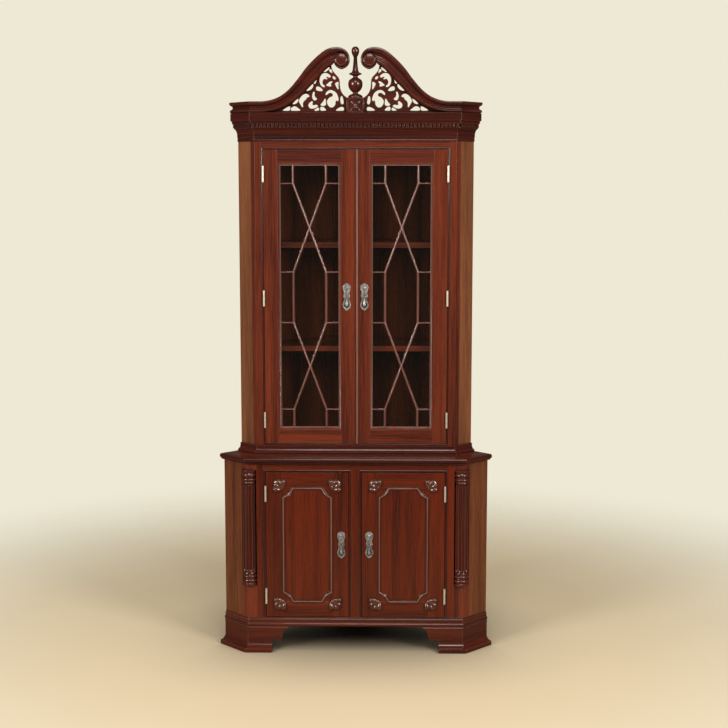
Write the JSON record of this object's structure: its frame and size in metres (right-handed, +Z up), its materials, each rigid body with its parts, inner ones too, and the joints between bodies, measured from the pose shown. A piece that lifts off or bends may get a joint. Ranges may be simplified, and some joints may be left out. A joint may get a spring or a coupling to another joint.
{
  "type": "corner cabinet",
  "caption": "Two-stage corner cabinet with glazed upper doors, panelled lower doors, fluted corner columns and a swan neck pediment.",
  "frame": {"origin": "floor level, midway in x between the outer toes of the front feet and midway in y between their front edge and the cut back corner", "axes": "+Z up; the doors face -Y; +X is to the right for someone who faces the doors; the two backs stand at 45 degrees and meet at +Y"},
  "size_m": [1.0736, 0.6144, 2.32],
  "materials": {
    "mahogany": "deep red-brown polished mahogany",
    "mahogany_moulding": "polished mahogany mouldings",
    "mahogany_carving": "carved and turned mahogany with dark recesses",
    "interior_wood": "dark stained secondary wood, satin",
    "glass": "clear sheet glass",
    "hinge_brass": "polished brass",
    "pull_metal": "aged silvered metal with dark recesses",
    "catch_metal": "black enamel"
  },
  "bodies": {
    "cabinet": {"architrave": "mahogany_moulding", "base_moulding": "mahogany_moulding", "column_left": "mahogany_carving", "column_right": "mahogany_carving", "cornice_cove": "mahogany_moulding", "cornice_fascia": "mahogany_moulding", "dentil_course": "mahogany_moulding", "door_catches": "catch_metal", "finial": "mahogany_carving", "finial_plinth": "mahogany_carving", "foot_left": "mahogany_moulding", "foot_right": "mahogany_moulding", "fret_left": "mahogany_carving", "fret_right": "mahogany_carving", "hinge_frame_leaves": "hinge_brass", "hinge_pins": "hinge_brass", "lower_back": "interior_wood", "lower_corner_posts": "mahogany", "lower_face_frame": "mahogany", "lower_floor": "interior_wood", "lower_opening_beads": "mahogany_moulding", "lower_shelf": "interior_wood", "lower_sides": "mahogany", "rear_foot": "interior_wood", "shelf_bearers": "interior_wood", "swan_neck_left": "mahogany_moulding", "swan_neck_right": "mahogany_moulding", "upper_back": "interior_wood", "upper_corner_posts": "mahogany", "upper_floor": "interior_wood", "upper_opening_beads": "mahogany_moulding", "upper_shelves": "interior_wood", "upper_sides": "mahogany", "upper_top": "interior_wood", "upper_top_rail": "mahogany", "waist_board": "mahogany", "waist_moulding": "mahogany_moulding", "waist_nosing": "mahogany_moulding"},
    "upper_right_door": {"upper_right_door": "mahogany", "upper_right_glazing_bars": "mahogany", "upper_right_glass": "glass", "upper_right_hinge_leaves": "hinge_brass", "upper_right_pull_plate": "pull_metal"},
    "lower_right_door": {"lower_right_door": "mahogany", "lower_right_panel_trim": "mahogany_carving", "lower_right_hinge_leaves": "hinge_brass", "lower_right_pull_plate": "pull_metal"},
    "upper_right_drop": {"upper_right_drop": "pull_metal"},
    "lower_right_drop": {"lower_right_drop": "pull_metal"},
    "upper_left_door": {"upper_left_door": "mahogany", "upper_left_glazing_bars": "mahogany", "upper_left_glass": "glass", "upper_left_hinge_leaves": "hinge_brass", "upper_left_pull_plate": "pull_metal"},
    "lower_left_door": {"lower_left_door": "mahogany", "lower_left_panel_trim": "mahogany_carving", "lower_left_hinge_leaves": "hinge_brass", "lower_left_pull_plate": "pull_metal"},
    "upper_left_drop": {"upper_left_drop": "pull_metal"},
    "lower_left_drop": {"lower_left_drop": "pull_metal"}
  },
  "joints": [
    {"name": "upper_right_door_hinge", "type": "hinge", "parent": "cabinet", "child": "upper_right_door", "pos_m": [0.35275, -0.18902, 1.37175], "axis": [0, 0, 1], "range_deg": [0, 110]},
    {"name": "upper_right_drop_pivot", "type": "hinge", "parent": "upper_right_door", "child": "upper_right_drop", "pos_m": [0.034, -0.19102, 1.3775], "axis": [-1, 0, 0], "range_deg": [0, 100]},
    {"name": "upper_left_door_hinge", "type": "hinge", "parent": "cabinet", "child": "upper_left_door", "pos_m": [-0.35275, -0.18902, 1.37175], "axis": [0, 0, -1], "range_deg": [0, 110]},
    {"name": "upper_left_drop_pivot", "type": "hinge", "parent": "upper_left_door", "child": "upper_left_drop", "pos_m": [-0.034, -0.19102, 1.3775], "axis": [-1, 0, 0], "range_deg": [0, 100]},
    {"name": "lower_right_door_hinge", "type": "hinge", "parent": "cabinet", "child": "lower_right_door", "pos_m": [0.34575, -0.28068, 0.42225], "axis": [0, 0, 1], "range_deg": [0, 110]},
    {"name": "lower_right_drop_pivot", "type": "hinge", "parent": "lower_right_door", "child": "lower_right_drop", "pos_m": [0.054, -0.28268, 0.4235], "axis": [-1, 0, 0], "range_deg": [0, 100]},
    {"name": "lower_left_door_hinge", "type": "hinge", "parent": "cabinet", "child": "lower_left_door", "pos_m": [-0.34575, -0.28068, 0.42225], "axis": [0, 0, -1], "range_deg": [0, 110]},
    {"name": "lower_left_drop_pivot", "type": "hinge", "parent": "lower_left_door", "child": "lower_left_drop", "pos_m": [-0.054, -0.28268, 0.4235], "axis": [-1, 0, 0], "range_deg": [0, 100]}
  ]
}
